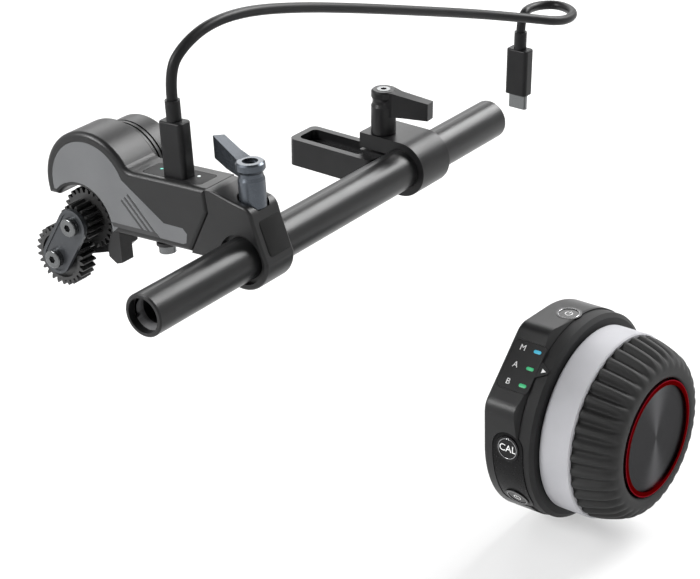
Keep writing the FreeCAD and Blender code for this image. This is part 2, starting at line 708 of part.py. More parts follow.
def make_pivot_pins():
    x, z = idler_centre()
    front = PLATE_FRONT_Y + PLATE_THICK
    first = rod_y(THROAT_X, THROAT_Z, DRIVE_SHAFT_R, front, 63.3)
    second = add([rod_y(x, z, DRIVE_SHAFT_R, front, 55.2), rod_y(x, z, 3.2, 52.8, 53.6)])
    holes = [rod_y(THROAT_X, THROAT_Z, 1.28, 44, 50), rod_y(x, z, 1.28, 44, 50)]
    return cut(first, holes), cut(second, holes)


def make_rear_arm():
    x, z = idler_centre()
    arm = slab([(x - 3, z + 3.2), (x + 1, z - 3.6), (-62, -12.8), (-56.6, -8.4), (-56.6, -2.3),
                (-58.5, -5.0), (-66, -9.4)], REAR_ARM_FRONT, REAR_ARM_BACK)
    hub = rod_y(x, z, 4.2, 53.9, REAR_ARM_BACK)
    lug = add([arm, hub])
    tools = [rod_y(x, z, DRIVE_SHAFT_R + 0.02, 50, 56), rod_y(THROAT_X, THROAT_Z, 8.6, 50, 70)]
    return cut(lug, tools)


def stop_outline(y0, y1, grow):
    return slab([(-60.0 - grow, BOTTOM_Z - 2.0), (-60.0 - grow, BOTTOM_Z + 0.7 + grow),
                 (STOP_RIGHT + grow, BOTTOM_Z + 0.7 + grow), (STOP_RIGHT + grow, -14.0), (-59.0, -14.8),
                 (-62.4, -12.6), (-62.4, -9.2), (-60.6, -4.0)], y0, y1)


def make_stop_block():
    return stop_outline(STOP_FRONT, STOP_BACK, 0)


def make_under_screw():
    x = UNDER_SCREW_X
    y = UNDER_SCREW_Y
    head = rod_z(x, y, 3.0, BOTTOM_Z - 4.0, BOTTOM_Z - 1.2 - SEAT)
    head = head.cut(hex_socket_z(x, y, 2.0, BOTTOM_Z - 5, BOTTOM_Z - 2.6))
    return add([head, rod_z(x, y, 1.2, BOTTOM_Z - 1.3 - SEAT, BOTTOM_Z + 3.6)])


def make_under_washer():
    return tube_z(UNDER_SCREW_X, UNDER_SCREW_Y, 3.7, 1.25, BOTTOM_Z - 1.2, BOTTOM_Z)


def hand_outline_solid(shrink, x0, x1):
    near = HAND_CORNER - 0.41 * shrink
    far = HAND_R - shrink
    block = plate_x([(0, far), (-near, far), (-far, near), (-far, 0), (0, 0)], x0, x1)
    return add([block, rod_x(0, 0, far, x0, x1)])


def at_corner(y, z):
    def chosen(edge):
        bounds = edge.BoundBox
        near = abs(bounds.YMin - y) < 0.3 and abs(bounds.ZMin - z) < 0.3
        return near and bounds.YLength < 0.1 and bounds.ZLength < 0.1
    return chosen


def around(radius, angle):
    turn = math.radians(angle)
    return radius * math.cos(turn), radius * math.sin(turn)


def hand_envelope():
    slope = (HAND_BEVEL_END - HAND_BEVEL_START) / (HAND_BEVEL_R - HAND_R)
    wide = HAND_R + 12.0
    wide_x = HAND_BEVEL_END - slope * 12.0
    profile = [(HAND_BACK - 1, 0), (HAND_BACK - 1, wide), (wide_x, wide), (HAND_BEVEL_END, HAND_R),
               (HAND_BEVEL_END, HAND_R - HAND_STEP), (-1.5, HAND_R - HAND_STEP),
               (-SEAT, HAND_R - HAND_STEP - 1.6),
               (-SEAT, 0)]
    return turned_x(profile, 0, 0)


def pointer_block():
    block = box(HAND_BEVEL_END - 2.0, -1.5, -POINTER_WIDE, POINTER_WIDE, HAND_R - 3.0, HAND_R + 0.2)
    sides = plate_z([(HAND_BEVEL_END - 3.0, -POINTER_WIDE - 1.2), (HAND_BEVEL_END, -POINTER_WIDE),
                     (-1.6, -0.5),
                     (-1.6, 0.5), (HAND_BEVEL_END, POINTER_WIDE),
                     (HAND_BEVEL_END - 3.0, POINTER_WIDE + 1.2)],
                    0, HAND_R + 5)
    block = block.common(sides)
    block.rotate(V(0, 0, 0), V(1, 0, 0), POINTER_ANGLE - 90)
    return block


def make_hand_body():
    body = hand_outline_solid(0, HAND_BACK, -SEAT)
    body = soften(body, CORNER_R, lambda e: at_corner(-HAND_CORNER, HAND_R)(e) or at_corner(-HAND_R,
                                                                                            HAND_CORNER)(e))
    body = body.common(hand_envelope()).fuse(pointer_block())
    body = soften(body, 1.2, on_plane_x(HAND_BACK))
    room = hand_outline_solid(WALL, HAND_BACK + LID_THICK, -6.5)
    room = room.common(rod_x(0, 0, HAND_R - WALL + 1.0, HAND_BACK, 0))
    lid = rod_x(0, 0, LID_R, HAND_BACK - 1, HAND_BACK + LID_THICK + 0.2)
    boss = tube_x(0, 0, 11.5, BEARING_R + RUN_FIT, -13.0, -6.0)
    tools = [room, lid, rod_x(0, 0, BEARING_R + RUN_FIT, -13, 1)]
    body = cut(body, tools).fuse(boss)
    tools = []
    for angle in LID_SCREW_ANGLES:
        y, z = around(LID_SCREW_CIRCLE, angle)
        body = body.fuse(rod_x(y, z, 3.4, HAND_BACK + LID_THICK + 0.5, -6.0))
        tools.append(rod_x(y, z, 1.25, HAND_BACK - 1, HAND_BACK + 10))
    for centre, direction in button_places():
        far = V(centre).add(V(direction) * 6)
        tools.append(Part.makeCylinder(BUTTON_HOLE_R, 14, far, V(direction) * -1))
    tools.append(led_panel(0))
    tools.append(capsule_panel(0))
    return cut(body, tools)


def button_places():
    places = [(V(BUTTON_X, TOP_BUTTON_Y, HAND_R), V(0, 0, 1))]
    for angle in (MIDDLE_BUTTON_ANGLE, LOWER_BUTTON_ANGLE):
        y, z = around(1.0, angle)
        direction = V(0, y, z)
        places.append((V(BUTTON_X, 0, 0).add(direction * HAND_R), direction))
    return places


def led_panel(inset):
    high = 0.4 if inset == 0 else 0
    panel = rounded_box(LIGHT_BACK + inset, LIGHT_FRONT - inset, -LIGHT_HALF + inset, LIGHT_HALF - inset,
                        -PANEL_DEPTH, high, 2.0, V(0, 0, 1))
    distance = (HAND_R + HAND_CORNER) / math.sqrt(2)
    panel.translate(V(0, LIGHT_SHIFT, distance))
    panel.rotate(V(0, 0, 0), V(1, 0, 0), 45)
    return panel


def capsule_panel(inset):
    outer = HAND_R + 1.0 if inset == 0 else HAND_R - 0.2
    x0 = BUTTON_X - CAPSULE_HALF + inset
    x1 = BUTTON_X + CAPSULE_HALF - inset
    ends = [Part.makeCylinder(CAPSULE_HALF - inset, 9, V(centre).sub(direction * 6), direction)
            for centre, direction in button_places()[1:]]
    wedge = plate_x([(0, 0), around(90, MIDDLE_BUTTON_ANGLE), around(90, LOWER_BUTTON_ANGLE)], x0, x1)
    band = tube_x(0, 0, outer, HAND_R - PANEL_DEPTH, x0, x1)
    return band.common(add([wedge] + ends))


def make_button_panel():
    panel = capsule_panel(0.1)
    for centre, direction in button_places()[1:]:
        panel = panel.cut(Part.makeCylinder(BUTTON_HOLE_R + 0.1, 12, V(centre).sub(direction * 6),
                                            direction))
    return panel


def make_buttons():
    shapes = []
    for centre, direction in button_places():
        low = V(centre).sub(direction * 2.4)
        cap = Part.makeCylinder(BUTTON_R, 2.3, low, direction)
        stem = Part.makeCylinder(1.6, 2.6, V(centre).sub(direction * 4.9), direction)
        shapes.append(add([cap, stem]))
    return shapes


def make_button_rims():
    shapes = []
    for centre, direction in button_places():
        low = V(centre).sub(direction * 3.0)
        rim = Part.makeCylinder(BUTTON_HOLE_R - 0.05, 3.1, low, direction)
        rim = rim.cut(Part.makeCylinder(BUTTON_R + RUN_FIT, 9, V(centre).sub(direction * 5), direction))
        shapes.append(rim)
    return Part.makeCompound(shapes)


def make_back_plate():
    plate = rod_x(0, 0, LID_R - 0.15, HAND_BACK + SEAT, HAND_BACK + LID_THICK)
    tools = [rod_x(0, 0, INSERT_R + 0.1, HAND_BACK - 1, HAND_BACK + 9)]
    for angle in LID_SCREW_ANGLES:
        y, z = around(LID_SCREW_CIRCLE, angle)
        tools.append(rod_x(y, z, 1.45, HAND_BACK - 1, HAND_BACK + 9))
        tools.append(rod_x(y, z, 2.4, HAND_BACK - 1, HAND_BACK + 1.2))
    return cut(plate, tools)


def make_back_screws():
    shapes = []
    for angle in LID_SCREW_ANGLES:
        y, z = around(LID_SCREW_CIRCLE, angle)
        head = rod_x(y, z, 2.2, HAND_BACK + SEAT, HAND_BACK + 1.2)
        head = head.cut(rod_x(y, z, 0.9, HAND_BACK - 1, HAND_BACK + 0.9))
        shapes.append(add([head, rod_x(y, z, 1.2, HAND_BACK + 1.1, HAND_BACK + 8)]))
    return Part.makeCompound(shapes)


def make_tripod_insert():
    outer = rod_x(0, 0, INSERT_R, HAND_BACK + 0.1, HAND_BACK + INSERT_DEEP)
    flange = rod_x(0, 0, INSERT_R + 2.0, HAND_BACK + LID_THICK + 0.1, HAND_BACK + LID_THICK + 1.6)
    return add([outer, flange]).cut(rod_x(0, 0, INSERT_HOLE_R, HAND_BACK - 1,
                                          HAND_BACK + INSERT_DEEP - 0.6))


def make_battery():
    return rounded_box(HAND_BACK + 3.0, HAND_BACK + 7.6, 9.5, 25.5, -15.5, 15.5, 2.0, V(1, 0, 0))


def make_hand_board():
    return box(-12.4, -10.8, -26, -13, -16, 16)


def make_wheel_bearing():
    return tube_x(0, 0, BEARING_R, WHEEL_SHAFT_R + 0.02, -12.6, -7.2)


def make_wheel_spacer():
    return tube_x(0, 0, BEARING_R - 1.5, WHEEL_SHAFT_R + 0.3, -6.9, -0.4)


def make_wheel_hub():
    front = GRIP_FRONT_X - 4.2
    shaft = rod_x(0, 0, WHEEL_SHAFT_R, -13.2, 1)
    disc = rod_x(0, 0, HUB_R, 0, 2.2)
    drum = tube_x(0, 0, DRUM_R, DRUM_R - 2.4, 2.1, front)
    post = tube_x(0, 0, 7.0, 1.6, 2.1, front)
    web = tube_x(0, 0, DRUM_R, 1.6, front - 2.4, front)
    return add([shaft, disc, drum, post, web])


def make_marking_ring():
    x1 = RING_WIDTH
    return turned_x([(0, HUB_R + 0.2), (0, RING_R - 0.5), (0.5, RING_R), (x1 - 0.5, RING_R),
                     (x1, RING_R - 0.5),
                     (x1, HUB_R + 0.2)], 0, 0)


def make_grip():
    start = RING_WIDTH + 0.1
    face = GRIP_FRONT_X
    profile = [(2.5, DRUM_R + 0.2), (2.5, HUB_R - 0.1), (start, HUB_R - 0.1), (start, GRIP_R)]
    profile += [(start + 1.0, GRIP_R + 0.2)]
    profile += [(face - 4.6, GRIP_FRONT_R), (face - 2.8, GRIP_FRONT_R - 1.0),
                (face - 1.3, GRIP_FRONT_R - 2.6)]
    profile += [(face - 0.3, GRIP_FRONT_R - 4.7), (face, GRIP_FRONT_R - 6.9), (face, RED_RING_R + 0.2)]
    profile += [(face - 3.9, RED_RING_R + 0.2), (face - 3.9, DRUM_R + 0.2)]
    grip = turned_x(profile, 0, 0)
    rise = RIB_TOOL_R - RIB_DEPTH
    for i in range(GRIP_RIBS):
        angle = 360 * (i + 0.5) / GRIP_RIBS
        y, z = around(GRIP_R + 0.2 + rise, angle)
        y2, z2 = around(GRIP_FRONT_R + rise, angle)
        y3, z3 = around(GRIP_FRONT_R - 3.0 + rise, angle)
        low = V(start - 0.02, y, z)
        shoulder = V(face - 4.6, y2, z2)
        end = V(face - 1.0, y3, z3)
        grip = grip.cut(Part.makeCylinder(RIB_TOOL_R, shoulder.sub(low).Length, low, shoulder.sub(low)))
        grip = grip.cut(Part.makeCylinder(RIB_TOOL_R, end.sub(shoulder).Length, shoulder,
                                          end.sub(shoulder)))
    return grip


def make_red_ring():
    face = GRIP_FRONT_X
    return tube_x(0, 0, RED_RING_R, RED_RING_R - 1.9, face - 3.9, face + 0.15)


def make_wheel_disc():
    face = GRIP_FRONT_X
    return rod_x(0, 0, RED_RING_R - 1.95, face - 3.9, face - 0.8)


parts = {}


def put(name, shape, lean=False, tilt=False):
    if lean:
        shape = leaned(shape)
    if tilt:
        shape = tilted(shape)
    moved = shape.copy()
    moved.translate(V(-SLOT_X, -SLOT_Y, -ARM_BOTTOM))
    parts[name] = moved


def build_motor():
    put("motor_housing", make_motor_housing(), True)
    put("inlay_panel", panel_outline(0.1), True)
    put("motor_can", make_can(), True)
    put("motor_core", make_motor_core(), True)
    put("motor_pinion", make_motor_pinion(), True)
    put("drive_gear", make_drive_gear(), True)
    put("idler_gear", make_idler(), True)
    put("link_plate", make_link_plate(), True)
    put("link_screws", make_link_screws(), True)
    first, second = make_pivot_pins()
    put("drive_pin", first, True)
    put("idler_pin", second, True)
    put("rear_arm", make_rear_arm(), True)
    put("stop_block", make_stop_block(), True)
    put("under_screw", make_under_screw(), True)
    put("under_washer", make_under_washer(), True)
    put("top_panel", make_top_panel(), True)
    put("socket", make_socket(), True)
    put("control_board", make_control_board(), True)
    put("rod_clamp", make_clamp(), True)
    put("clamp_lever", make_motor_lever(), True)
    put("rod_shoe", make_rod_shoe(), True)


def build_cable():
    put("cable", make_cable())
    put("plug_body", placed_plug(plug_body(0, PLUG_HIGH)))
    put("plug_tip", placed_plug(plug_tip(0)))
    put("far_plug_body", far_placed(plug_body(0, PLUG_HIGH)))
    put("far_plug_tip", far_placed(plug_tip(0)))


def build_bracket():
    put("rod", make_rod())
    put("slotted_arm", make_arm())
    put("arm_lever", make_black_lever())
    put("arm_screw", make_bracket_screw())


def build_hand_unit():
    top, middle, low = make_buttons()
    pieces = {"hand_body": make_hand_body(), "back_plate": make_back_plate(),
              "back_screws": make_back_screws(),
              "tripod_insert": make_tripod_insert(), "battery": make_battery(),
              "hand_board": make_hand_board(),
              "light_panel": led_panel(0.1), "button_panel": make_button_panel(), "top_button": top,
              "middle_button": middle, "lower_button": low, "button_rims": make_button_rims(),
              "wheel_bearing": make_wheel_bearing(), "wheel_spacer": make_wheel_spacer(),
              "wheel_hub": make_wheel_hub(), "marking_ring": make_marking_ring(), "wheel_grip": make_grip(),
              "red_ring": make_red_ring(), "wheel_disc": make_wheel_disc()}
    for name, shape in pieces.items():
        put(name, shape, tilt=True)


build_motor()
build_cable()
build_bracket()
build_hand_unit()
os.makedirs("parts", exist_ok=True)
for name, shape in parts.items():
    if not shape.isValid() or shape.Volume <= 0:
        print("check", name, shape.isValid(), shape.Volume)
    shape.exportStep("parts/" + name + ".step")
print("pieces", len(parts))
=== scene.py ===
import bpy
import bmesh
import math
from mathutils import Matrix, Vector


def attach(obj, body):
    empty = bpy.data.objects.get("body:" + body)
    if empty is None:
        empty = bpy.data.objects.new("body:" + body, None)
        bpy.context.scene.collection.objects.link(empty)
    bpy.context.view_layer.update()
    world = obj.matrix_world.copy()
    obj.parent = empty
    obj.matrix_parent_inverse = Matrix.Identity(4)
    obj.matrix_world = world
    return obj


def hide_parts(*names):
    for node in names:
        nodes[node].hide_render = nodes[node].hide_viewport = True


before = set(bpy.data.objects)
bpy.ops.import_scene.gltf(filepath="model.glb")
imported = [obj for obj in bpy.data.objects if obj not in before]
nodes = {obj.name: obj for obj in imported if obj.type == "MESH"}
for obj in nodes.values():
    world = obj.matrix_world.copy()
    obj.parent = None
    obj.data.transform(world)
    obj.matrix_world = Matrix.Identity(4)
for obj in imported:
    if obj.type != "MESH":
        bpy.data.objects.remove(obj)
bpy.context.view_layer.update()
print("frame loaded", len(nodes), "nodes")

mm = 0.001
rodStart = (30.6, -144.8, 8.3)                 # the rod's front end, in the part's own millimetres
lean = math.radians(4.0)                       # how far the motor droops about the rod
handCentre = (72.32, 164.49, -90.15)           # back of the marking ring, on the wheel's axis
handYaw = math.radians(-2.5)
handPitch = math.radians(-2.24)

# each frame turns millimetres in a piece's own axes into the part's metres
rodFrame = Matrix.Scale(mm, 4) @ Matrix.Translation(rodStart)
motorFrame = rodFrame @ Matrix.Rotation(-lean, 4, "Y")
handFrame = (rodFrame @ Matrix.Translation(handCentre) @ Matrix.Rotation(handYaw, 4, "Z")
             @ Matrix.Rotation(handPitch, 4, "Y"))


def fromRod(x, y, z):
    return rodFrame @ Vector((x, y, z))


def fromMotor(x, y, z):
    return motorFrame @ Vector((x, y, z))


def aroundWheel(angle):                        # z out of the body at this angle, x to the wheel's face
    return handFrame @ Matrix.Rotation(math.radians(angle - 90), 4, "X")


# the camera's place is in the rod's frame, its lens and film in millimetres, its angles in degrees
camera = {
    "place": (378.13, -410.06, 291.59),
    "azimuth": 36.0, "elevation": 27.0,
    "lens": 102.857, "film": 36.0,
    "nearest": 0.01, "farthest": 50.0,         # metres
}


def makeCamera():
    azimuth = math.radians(camera["azimuth"])
    elevation = math.radians(camera["elevation"])
    back = Vector((math.sin(azimuth) * math.cos(elevation), -math.cos(azimuth) * math.cos(elevation),
                   math.sin(elevation)))
    data = bpy.data.cameras.new("camera")
    data.lens = camera["lens"]
    data.sensor_width = camera["film"]
    data.clip_start = camera["nearest"]
    data.clip_end = camera["farthest"]
    eye = bpy.data.objects.new("camera", data)
    bpy.context.scene.collection.objects.link(eye)
    eye.location = fromRod(*camera["place"])
    eye.rotation_mode = "QUATERNION"
    eye.rotation_quaternion = (-back).to_track_quat("-Z", "Y")
    bpy.context.scene.camera = eye


makeCamera()
print("camera placed")


# shader expressions: a wrapped socket takes + and * with numbers or other wrapped sockets
class Wire:
    def __init__(self, maker, socket):
        self.maker = maker
        self.socket = socket

    def math(self, operation, *others):
        return self.maker.node("ShaderNodeMath", {"operation": operation}, dict(enumerate([self, *others])))

    def __add__(self, other):
        return self.math("ADD", other)

    def __radd__(self, other):
        return self.math("ADD", other)

    def __mul__(self, other):
        return self.math("MULTIPLY", other)

    def __rmul__(self, other):
        return self.math("MULTIPLY", other)


class Finish:
    def __init__(self, name):
        self.material = bpy.data.materials.new(name)
        self.material.use_nodes = True
        self.tree = self.material.node_tree
        self.shader = self.tree.nodes["Principled BSDF"]
        self.output = self.tree.nodes["Material Output"]

    def node(self, kind, settings=None, inputs=None, out=0):
        made = self.tree.nodes.new(kind)
        for key, value in (settings or {}).items():
            setattr(made, key, value)
        for key, value in (inputs or {}).items():
            self.feed(made.inputs[key], value)
        return Wire(self, made.outputs[out])

    def feed(self, socket, value):
        if isinstance(value, Wire):
            self.tree.links.new(value.socket, socket)
        elif isinstance(value, (tuple, list)) and len(value) == 3 and len(socket.default_value) == 4:
            socket.default_value = (*value, 1.0)
        else:
            socket.default_value = value

    def set(self, **values):                   # an underscore stands for a space in a socket's name
        for name, value in values.items():
            self.feed(self.shader.inputs[name.replace("_", " ")], value)

    def place(self):                           # a point's place on the object, in metres
        return self.node("ShaderNodeTexCoord", out="Object")

    def noise(self, scale, detail, where=None):
        return self.node("ShaderNodeTexNoise", None, {"Vector": where or self.place(), "Scale": scale,
                                                      "Detail": detail})

    def blend(self, factor, low, high):
        # a colour mix has its A and B on sockets 6 and 7 and its result on 2
        return self.node("ShaderNodeMix", {"data_type": "RGBA"}, {0: factor, 6: low, 7: high}, 2)

    def spread(self, value, fromLow, fromHigh, toLow, toHigh):
        return self.node("ShaderNodeMapRange", None,
                         {0: value, 1: fromLow, 2: fromHigh, 3: toLow, 4: toHigh})

    def bump(self, height, strength, distance):
        self.feed(self.shader.inputs["Normal"],
                  self.node("ShaderNodeBump", None, {"Height": height, "Strength": strength,
                                                     "Distance": distance}))


# a fine grain over soft blotches; scales are counts for each metre, depths are metres
grain = {
    "detail": 2.0, "bump": 0.25, "blotchScale": 60.0, "blotchDetail": 3.0,
    "low": 0.3, "high": 0.7,                   # the span of one noise's values that is used
    "sumLow": 0.7, "sumHigh": 1.3,             # and of two noises added
}


def grained(name, dark, light, rough, grainScale, grainDepth, metal=0.0, spec=0.5, rougher=None):
    finish = Finish(name)
    fine = finish.noise(grainScale, grain["detail"])
    blotch = finish.noise(grain["blotchScale"], grain["blotchDetail"])
    roughness = finish.spread(blotch + fine, grain["sumLow"], grain["sumHigh"], *rough)
    if rougher:
        roughness = roughness + rougher(finish)
    share = finish.spread(blotch, grain["low"], grain["high"], 0.0, 1.0)
    finish.set(Base_Color=finish.blend(share, dark, light), Roughness=roughness, Metallic=metal,
               Specular_IOR_Level=spec)
    finish.bump(fine, grain["bump"], grainDepth)
    return finish.material


def glowing(name, colour, strength, rough=0.35):
    finish = Finish(name)
    finish.set(Base_Color=colour, Emission_Color=colour, Emission_Strength=strength, Roughness=rough)
    return finish.material


def wheelAxes(finish):                         # how far out along the wheel's axle, across and up from it
    mapped = finish.node("ShaderNodeMapping", {"vector_type": "TEXTURE"},
                         {"Vector": finish.place(), "Location": tuple(fromRod(*handCentre)),
                          "Rotation": (0.0, handPitch, handYaw)})
    return [finish.node("ShaderNodeSeparateXYZ", None, {0: mapped}, axis) for axis in "XYZ"]


# the hand unit's body is duller on its step beside the marking ring, from and to in millimetres
shellStep = {"from": -7.6, "to": -7.0, "rougher": 0.25}


def dullStep(finish):
    out = wheelAxes(finish)[0]
    return finish.spread(out, shellStep["from"] * mm, shellStep["to"] * mm, 0.0, 1.0) * shellStep["rougher"]


# the red ring: dark walls and a painted highlight, a thin bright line painted round its outer edge
ringPaint = {
    # line is the colour of the painted highlight round the outer edge, between its from and to radii
    "paintedLineFrom": 21.9, "paintedLineTo": 22.15, "walls": (0.085, 0.006, 0.011), "line": (0.24, 0.045, 0.060),
    "edge": (0.5, 0.12, 0.14), "rough": (0.24, 0.34), "grainScale": 4200, "grainDepth": 0.00001,
}


def redRing():
    finish = Finish("red anodised")
    across, up = wheelAxes(finish)[1:]
    radius = (across * across + up * up).math("SQRT")
    # painted highlight: the ring's colour turns brighter at its outer edge
    line = finish.spread(radius, ringPaint["paintedLineFrom"] * mm, ringPaint["paintedLineTo"] * mm, 0.0, 1.0)
    fine = finish.noise(ringPaint["grainScale"], grain["detail"])
    finish.set(Base_Color=finish.blend(line, ringPaint["walls"], ringPaint["line"]), Metallic=1.0,
               Roughness=finish.spread(fine, grain["low"], grain["high"], *ringPaint["rough"]),
               Specular_Tint=ringPaint["edge"])
    finish.bump(fine, grain["bump"], ringPaint["grainDepth"])
    return finish.material


# the spun disc: turned grooves, and a painted highlight: two opposite bright rays painted into its colour,
# which fan out from its middle where the spun metal would show its sheen
discPaint = {
    "groovePitch": 0.45, "grooveBump": 0.12, "grooveDepth": 0.00003, "paintedRays": 2.0, "paintedRaySharpness": 9.0,
    # the rays' count, sharpness and share are of the painted highlight; light is the bright end of the
    # painted rays and of the flutter, which is random tone
    "paintedRayShare": 0.8, "flutterScale": 9000.0, "dark": (0.006, 0.006, 0.0062), "light": (0.088, 0.088, 0.091),
    "edge": (0.8, 0.8, 0.81), "rough": (0.34, 0.46),
}


def spunDisc():
    finish = Finish("spun dark metal")
    across, up = wheelAxes(finish)[1:]
    radius = (across * across + up * up).math("SQRT")
    angle = across.math("ARCTAN2", up)
    grooves = (radius * (2 * math.pi / (discPaint["groovePitch"] * mm))).math("SINE")
    # painted highlight: two opposite bright rays by angle round the disc's middle
    paintedRay = ((angle * discPaint["paintedRays"]).math("COSINE") * 0.5 + 0.5).math("POWER", discPaint["paintedRaySharpness"])
    along = finish.node("ShaderNodeCombineXYZ", None, {0: radius * discPaint["flutterScale"], 1: 0.5})
    flutter = finish.noise(1.0, grain["detail"], along)
    # the colour's share: the painted highlight rays, plus radial flutter that is random tone
    paintedRaysAndFlutter = paintedRay * discPaint["paintedRayShare"] + flutter * (1 - discPaint["paintedRayShare"])
    finish.set(Base_Color=finish.blend(paintedRaysAndFlutter, discPaint["dark"], discPaint["light"]),
               Roughness=finish.spread(flutter, grain["low"], grain["high"], *discPaint["rough"]),
               Metallic=1.0, Specular_Tint=discPaint["edge"])
    finish.bump(grooves, discPaint["grooveBump"], discPaint["grooveDepth"])
    return finish.material


# dark and light of the blotches, least and most roughness, grains for each metre and their depth in metres
finishes = {
    "housing": grained("housing black", (0.008, 0.008, 0.0084), (0.012, 0.012, 0.0124), (0.33, 0.40),
                       5200, 0.00002, spec=0.30),
    "handShell": grained("hand unit black", (0.008, 0.008, 0.0084), (0.012, 0.012, 0.0124), (0.33, 0.40),
                         5200, 0.00002, spec=0.30, rougher=dullStep),
    "satin": grained("satin black", (0.007, 0.007, 0.0074), (0.011, 0.011, 0.0114), (0.32, 0.39),
                     4200, 0.000015, spec=0.22),
    "rod": grained("rod black", (0.010, 0.010, 0.0104), (0.015, 0.015, 0.0154), (0.29, 0.36),
                   6000, 0.00001, spec=0.26),
    "inlay": grained("grey inlay", (0.095, 0.098, 0.102), (0.115, 0.118, 0.122), (0.50, 0.62),
                     7000, 0.00001),
    "greyMetal": grained("grey anodised", (0.064, 0.073, 0.086), (0.080, 0.090, 0.104), (0.23, 0.29),
                         5200, 0.00001, metal=0.75),
    "linkMetal": grained("link grey", (0.046, 0.049, 0.054), (0.060, 0.064, 0.069), (0.32, 0.42),
                         5200, 0.00001, metal=0.6),
    "screw": grained("screw steel", (0.115, 0.119, 0.121), (0.150, 0.154, 0.156), (0.18, 0.26),
                     3800, 0.00001, metal=0.9),
    "gear": grained("gear black", (0.012, 0.012, 0.012), (0.020, 0.020, 0.020), (0.38, 0.50),
                    4200, 0.00002),
    "gloss": grained("gloss black", (0.004, 0.004, 0.0043), (0.006, 0.006, 0.0064), (0.12, 0.18),
                     2500, 0.000004, spec=0.22),
    "deepPanel": grained("deep panel black", (0.004, 0.004, 0.0043), (0.006, 0.006, 0.0064), (0.24, 0.32),
                         2500, 0.000004, spec=0.10),
    "panel": grained("panel grey", (0.020, 0.020, 0.0205), (0.026, 0.026, 0.0265), (0.40, 0.48),
                     5200, 0.00001, spec=0.15),
    "topPanel": grained("top panel black", (0.010, 0.010, 0.0105), (0.015, 0.015, 0.0155), (0.48, 0.56),
                        5200, 0.00001, spec=0.18),
    "padBlack": grained("pad black", (0.008, 0.008, 0.008), (0.012, 0.012, 0.012), (0.45, 0.55),
                        5200, 0.00001, spec=0.12),
    "cable": grained("cable black", (0.006, 0.006, 0.0065), (0.010, 0.010, 0.0105), (0.36, 0.44),
                     3200, 0.00001, spec=0.18),
    "grip": grained("grip rubber", (0.010, 0.010, 0.010), (0.015, 0.015, 0.015), (0.58, 0.68),
                    4200, 0.00003, spec=0.36),
    "ring": grained("ring silver", (0.39, 0.39, 0.41), (0.44, 0.44, 0.46), (0.55, 0.65),
                    9000, 0.00001, metal=0.1, spec=0.30),
    "chrome": grained("polished rim", (0.34, 0.34, 0.35), (0.42, 0.42, 0.43), (0.10, 0.18),
                      2600, 0.000005, metal=1.0),
    # painted highlight: a light grey that stands in for the lit step face inside the rod's ends
    "step": grained("bore step painted highlight grey", (0.15, 0.15, 0.155), (0.20, 0.20, 0.205), (0.40, 0.50),
                    5200, 0.00001, metal=0.3),
    "brass": grained("insert brass", (0.62, 0.44, 0.17), (0.74, 0.54, 0.24), (0.24, 0.36),
                     4200, 0.00001, metal=1.0),
    "board": grained("board green", (0.010, 0.075, 0.030), (0.016, 0.100, 0.042), (0.35, 0.50),
                     3000, 0.00001),
    "cell": grained("cell grey", (0.25, 0.26, 0.28), (0.31, 0.32, 0.34), (0.40, 0.55),
                    1500, 0.00001),
    "white": grained("lettering white", (0.78, 0.78, 0.78), (0.84, 0.84, 0.84), (0.45, 0.55),
                     3000, 0.000004),
    "stripe": grained("stripe dark", (0.020, 0.020, 0.021), (0.028, 0.028, 0.029), (0.40, 0.50),
                      5200, 0.00001),
    "blueLight": glowing("blue light", (0.03, 0.36, 0.52), 0.35),
    "greenLight": glowing("green light", (0.02, 0.36, 0.14), 0.35),
    "tealLight": glowing("teal light", (0.06, 0.42, 0.33), 0.4),
    "whiteLight": glowing("white light", (0.85, 0.92, 0.90), 0.4),
    "red": redRing(),
    "disc": spunDisc(),
}

nodeFinish = {
    "motor_housing": "housing", "inlay_panel": "inlay", "motor_can": "housing", "motor_core": "screw",
    "motor_pinion": "screw", "drive_gear": "gear", "idler_gear": "gear", "link_plate": "linkMetal",
    "link_screws": "screw", "drive_pin": "screw", "idler_pin": "screw", "under_washer": "housing",
    "rear_arm": "housing", "stop_block": "housing", "under_screw": "screw", "top_panel": "topPanel",
    "socket": "screw", "control_board": "board", "rod_clamp": "satin", "clamp_lever": "greyMetal",
    "rod_shoe": "brass", "cable": "cable", "plug_body": "cable", "plug_tip": "screw",
    "far_plug_body": "cable", "far_plug_tip": "screw",
    "rod": "rod", "slotted_arm": "satin", "arm_lever": "satin", "arm_screw": "screw",
    "hand_body": "handShell", "back_plate": "housing", "back_screws": "screw", "tripod_insert": "brass",
    "battery": "cell", "hand_board": "board", "light_panel": "panel", "button_panel": "deepPanel",
    "top_button": "gloss", "middle_button": "gloss", "lower_button": "gloss", "button_rims": "gloss",
    "wheel_bearing": "screw", "wheel_spacer": "screw", "wheel_hub": "satin", "marking_ring": "ring",
    "wheel_grip": "grip", "red_ring": "red", "wheel_disc": "disc",
}


def dressNodes():
    for name, node in nodes.items():
        node.data.materials.clear()
        node.data.materials.append(finishes[nodeFinish[name]])


dressNodes()
print("nodes dressed")

# the free cable: millimetres, with the route's points in the rod's frame and its start in the motor's
cable = {
    "diameter": 3.8, "roundSteps": 6, "lineSteps": 12,
    "start": (-29.5, 55.5, 49.3), "rise": 10.0,
    "middle": [(-32.1, 61.0, 64.4), (-31.5, 74.0, 68.7), (-30.6, 93.0, 68.0), (-29.3, 120.0, 62.0),
               (-26.8, 152.0, 53.2), (-23.0, 188.0, 42.8), (-18.4, 220.0, 33.6), (-11.0, 246.0, 26.0),
               (-3.0, 261.0, 21.8), (-5.6, 275.5, 20.9), (-18.0, 283.0, 20.2), (-25.6, 275.0, 20.2),
               (-23.9, 262.7, 20.4)],
    "end": (-23.9, 262.7, 12.8),
}


